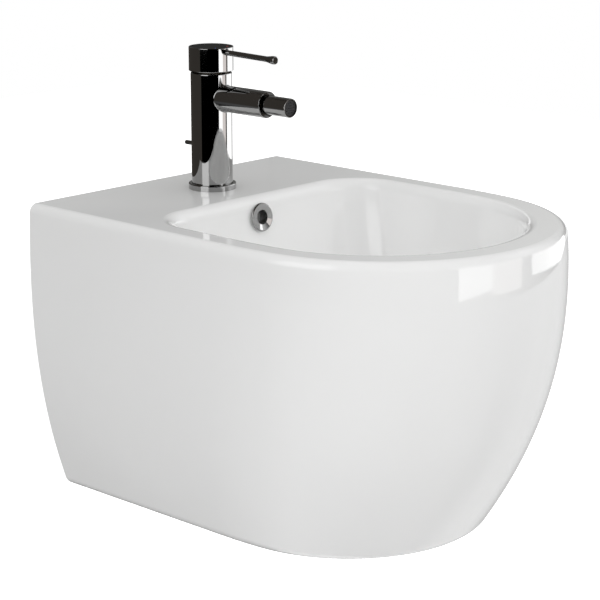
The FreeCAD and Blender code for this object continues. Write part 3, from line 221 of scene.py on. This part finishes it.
def studio_world():
    """White to the camera and in reflections; as a light, brightest a little above the horizon."""
    world = bpy.data.worlds.new("studio")
    scene.world = world
    world.use_nodes = True
    tree = world.node_tree
    tree.nodes.clear()
    place = tree.nodes.new("ShaderNodeTexCoord")
    parts = tree.nodes.new("ShaderNodeSeparateXYZ")
    tree.links.new(place.outputs["Generated"], parts.inputs["Vector"])
    ramp = tree.nodes.new("ShaderNodeValToRGB")
    elements = ramp.color_ramp.elements
    elements.remove(elements[-1])
    for index, (height, level) in enumerate(SKY_STOPS):
        stop = elements.new(height) if index else elements[0]
        stop.position = height
        stop.color = (level, level, level, 1)
    tree.links.new(parts.outputs["Z"], ramp.inputs["Fac"])
    soft = tree.nodes.new("ShaderNodeBackground")
    soft.inputs["Strength"].default_value = SKY_LEVEL
    tree.links.new(ramp.outputs["Color"], soft.inputs["Color"])
    white = tree.nodes.new("ShaderNodeBackground")
    white.inputs["Color"].default_value = (1, 1, 1, 1)
    white.inputs["Strength"].default_value = 1.0
    mix = tree.nodes.new("ShaderNodeMixShader")
    tree.links.new(seen_rays(tree), mix.inputs["Fac"])
    tree.links.new(soft.outputs["Background"], mix.inputs[1])
    tree.links.new(white.outputs["Background"], mix.inputs[2])
    out = tree.nodes.new("ShaderNodeOutputWorld")
    tree.links.new(mix.outputs["Shader"], out.inputs["Surface"])


def floor_material():
    """Pale and lit as it is, and lifted to white where it is seen."""
    finish = Finish("pale_floor")
    finish.shade(finish.noise(scale=3), first=(0.78, 0.78, 0.78), second=(0.80, 0.80, 0.80))
    finish.roughness(finish.noise(scale=20), low=0.85, high=0.95)
    lift = finish.add("ShaderNodeEmission")
    lift.inputs["Color"].default_value = (1, 1, 1, 1)
    strength = finish.add("ShaderNodeMath")
    strength.operation = "MULTIPLY"
    strength.inputs[1].default_value = FLOOR_LIFT
    finish.join(seen_rays(finish.tree), strength.inputs[0])
    finish.join(strength.outputs["Value"], lift.inputs["Strength"])
    total = finish.add("ShaderNodeAddShader")
    finish.join(finish.shader.outputs["BSDF"], total.inputs[0])
    finish.join(lift.outputs["Emission"], total.inputs[1])
    finish.join(total.outputs["Shader"], finish.tree.nodes["Material Output"].inputs["Surface"])
    return finish.material


def pale_floor():
    mesh = bpy.data.meshes.new("studio_floor")
    mesh.from_pydata([(-FLOOR_REACH, -FLOOR_REACH, FLOOR_LEVEL), (FLOOR_REACH, -FLOOR_REACH, FLOOR_LEVEL),
                      (FLOOR_REACH, FLOOR_REACH, FLOOR_LEVEL), (-FLOOR_REACH, FLOOR_REACH, FLOOR_LEVEL)],
                     [], [(0, 1, 2, 3)])
    item = bpy.data.objects.new("studio_floor", mesh)
    item.data.materials.append(floor_material())
    scene.collection.objects.link(item)


def card_material():
    """Gives off the glow that each card keeps at its corners."""
    material = bpy.data.materials.new("card_glow")
    material.use_nodes = True
    tree = material.node_tree
    tree.nodes.clear()
    level = tree.nodes.new("ShaderNodeAttribute")
    level.attribute_name = GLOW
    glow = tree.nodes.new("ShaderNodeEmission")
    out = tree.nodes.new("ShaderNodeOutputMaterial")
    tree.links.new(level.outputs["Color"], glow.inputs["Color"])
    tree.links.new(glow.outputs["Emission"], out.inputs["Surface"])
    return material


CARD_MATERIAL = card_material()


def steps(stops):
    """Angles and levels from stop to stop, none further apart than a card's step."""
    found = [stops[0]]
    for (start, low), (end, high) in zip(stops, stops[1:]):
        count = max(1, math.ceil((end - start) / CARD_STEP))
        for index in range(1, count + 1):
            share = index / count
            found.append((start + (end - start) * share, low + (high - low) * share))
    return found


def even(low, high):
    """Stops at full level from one angle to another."""
    return [(low, 1.0), (high, 1.0)]


def card(name, turns, rises, colour, reach, lean=0.0):
    """A curved card round the mixer that only reflections see, with a level at each stop.

    The lean is its rise from its left edge on, in degrees for each degree of turn.
    """
    across, up = steps(turns), steps(rises)
    left = turns[0][0]
    points, levels = [], []
    for rise, high in up:
        for turn, wide in across:
            points.append(CARD_MIDDLE + direction(turn, rise + lean * (turn - left)) * reach)
            levels.append([part * high * wide for part in colour] + [1.0])
    width = len(across)
    faces = []
    for row in range(len(up) - 1):
        for column in range(width - 1):
            first = row * width + column
            faces.append((first, first + 1, first + width + 1, first + width))
    mesh = bpy.data.meshes.new(name)
    mesh.from_pydata(points, [], faces)
    glow = mesh.color_attributes.new(GLOW, "FLOAT_COLOR", "POINT")
    for corner, level in zip(glow.data, levels):
        corner.color = level
    item = bpy.data.objects.new(name, mesh)
    item.data.materials.append(CARD_MATERIAL)
    scene.collection.objects.link(item)
    item.visible_camera = False
    item.visible_diffuse = False
    item.visible_shadow = False
    item.visible_transmission = False


# Colours of the cards
DARK = (0.066, 0.059, 0.052)
BLACK = (0.0, 0.0, 0.0)
WHITE = (1.75, 1.75, 1.75)
STRONG = (2.50, 2.50, 2.50)
ROSE = (1.46, 1.36, 1.32)
GREY = (0.95, 0.95, 0.95)
DUSK = (0.15, 0.15, 0.145)
PALE = (1.0, 1.0, 1.0)

# Distances of the cards, in metres
CLOSEST = 1.2
NEAR = 1.25
FAR = 3.2
FARTHEST = 3.4

# Edges that cards share, in degrees: first turns, then rises
BACK = 182
FRONT_LEFT = -56
FRONT_RIGHT = 42
ROSE_LEFT = 64.5
LOW_MEETING = 70
FAR_END = 141
BOTTOM = -78
FOOT = -16
PANEL_FOOT = -13.1
PANEL_HEAD = 9
TOP = 89


def left_cards():
    card("dark_left", turns=even(-BACK, FRONT_LEFT), rises=even(FOOT, TOP), colour=DARK, reach=NEAR)
    # The dip in its rises is what the handle cap's flat top reflects
    card("dusk_left", turns=[(-BACK, 1), (-140, 1), (-120, 0.4)],
         rises=[(3, 0.5), (4.5, 1.15), (7.6, 1.15), (8.5, 0.25), (10.5, 0.25), (11.5, 1), (30, 1), (40, 0.4)],
         colour=DUSK, reach=CLOSEST)


def front_cards():
    card("black_front", turns=even(FRONT_LEFT, FRONT_RIGHT), rises=even(FOOT, TOP),
         colour=BLACK, reach=NEAR)
    card("soft_box", turns=[(-58, 0), (-54, 1), (-20, 1), (-14, 0)],
         rises=[(-5.5, 0), (2, 1), (40, 1), (50, 0)], colour=WHITE, reach=CLOSEST)


def right_cards():
    """The chrome shows the edges of these as upright bands."""
    card("right_panel", turns=even(FRONT_RIGHT, ROSE_LEFT),
         rises=[(PANEL_FOOT, 1), (-7, 1), (-4.5, 0.68), (PANEL_HEAD, 0.68)],
         colour=STRONG, reach=FAR, lean=0.05)
    card("rose_panel", turns=even(ROSE_LEFT, 86), rises=even(PANEL_FOOT, PANEL_HEAD), colour=ROSE, reach=FAR)
    card("far_panel", turns=even(94.7, FAR_END), rises=even(-11.6, PANEL_HEAD),
         colour=STRONG, reach=FAR, lean=-0.05)
    card("back_panel", turns=even(FAR_END, BACK), rises=even(-14, -2), colour=GREY, reach=FAR)
    card("right_glow", turns=[(80, 0.1), (92, 1), (115, 1), (140, 0.4), (150, 0.25)],
         rises=[(PANEL_HEAD, 1), (36, 1), (48, 0.1)], colour=GREY, reach=FAR)
    card("back_glow", turns=[(150, 2.4), (166, 2.4), (177, 1), (BACK, 1)],
         rises=[(4, 0.4), (8, 1), (30, 1), (40, 0.4)], colour=DUSK, reach=FAR)
    card("dark_right", turns=even(FRONT_RIGHT, BACK), rises=even(-40, TOP), colour=DARK, reach=FARTHEST)


def low_cards():
    card("below_left",
         turns=[(-BACK, 0), (-100, 0), (-72, 0.6), (-40, 0.86), (-8, 0.54), (25, 0.25), (56, 0.4),
                (LOW_MEETING, 0.5)],
         rises=[(BOTTOM, 1), (-45, 1), (-20, 0.45), (FOOT, 0.3)], colour=PALE, reach=NEAR)
    card("below_right", turns=[(LOW_MEETING, 0.3), (95, 1), (118, 1), (140, 0.56), (BACK, 0.54)],
         rises=even(BOTTOM, FOOT), colour=PALE, reach=NEAR)


def key_lamp():
    """A square soft lamp on the camera's side, which reflections do not show."""
    light = bpy.data.lights.new("key", "AREA")
    light.shape = "SQUARE"
    light.size = KEY_SIZE
    light.energy = KEY_POWER
    item = bpy.data.objects.new("key", light)
    item.location = KEY_TARGET + direction(KEY_TURN, KEY_RISE) * KEY_REACH
    look(item, KEY_TARGET - item.location)
    scene.collection.objects.link(item)
    item.visible_glossy = False


def photo_camera():
    data = bpy.data.cameras.new("photo_camera")
    data.sensor_width = CAMERA_SENSOR
    data.lens = CAMERA_LENS
    item = bpy.data.objects.new("photo_camera", data)
    item.location = CAMERA_PLACE
    look(item, -direction(0, CAMERA_ELEVATION))
    scene.collection.objects.link(item)
    scene.camera = item


studio_world()
pale_floor()
left_cards()
front_cards()
right_cards()
low_cards()
key_lamp()
photo_camera()
scene.view_settings.view_transform = "Standard"
